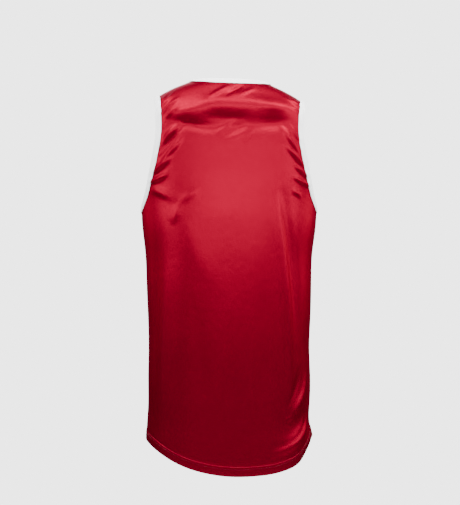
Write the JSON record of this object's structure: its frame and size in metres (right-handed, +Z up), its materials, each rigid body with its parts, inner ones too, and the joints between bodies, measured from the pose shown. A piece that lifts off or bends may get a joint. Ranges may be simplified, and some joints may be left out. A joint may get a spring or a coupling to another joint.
{
  "type": "boxing tank top",
  "caption": "Sleeveless boxing tank top in shiny knit, hollow as worn, with bound neck and armholes and a curved shirt-tail hem.",
  "frame": {"origin": "midway between the two shoulder straps, level with the top of the shoulders at the middle of each strap, where the wearer holds the garment up", "axes": "+Z up, -Y the front of the garment, +Y its back, +X the wearer's left"},
  "size_m": [0.3357, 0.2874, 0.7408],
  "materials": {
    "red_shiny_knit": "shiny red polyester knit",
    "white_binding": "matte white knitted binding"
  },
  "bodies": {
    "root": {"back_panel": "red_shiny_knit", "front_panel": "red_shiny_knit", "neck_binding": "white_binding", "armhole_binding_left": "white_binding", "armhole_binding_right": "white_binding"}
  },
  "joints": []
}
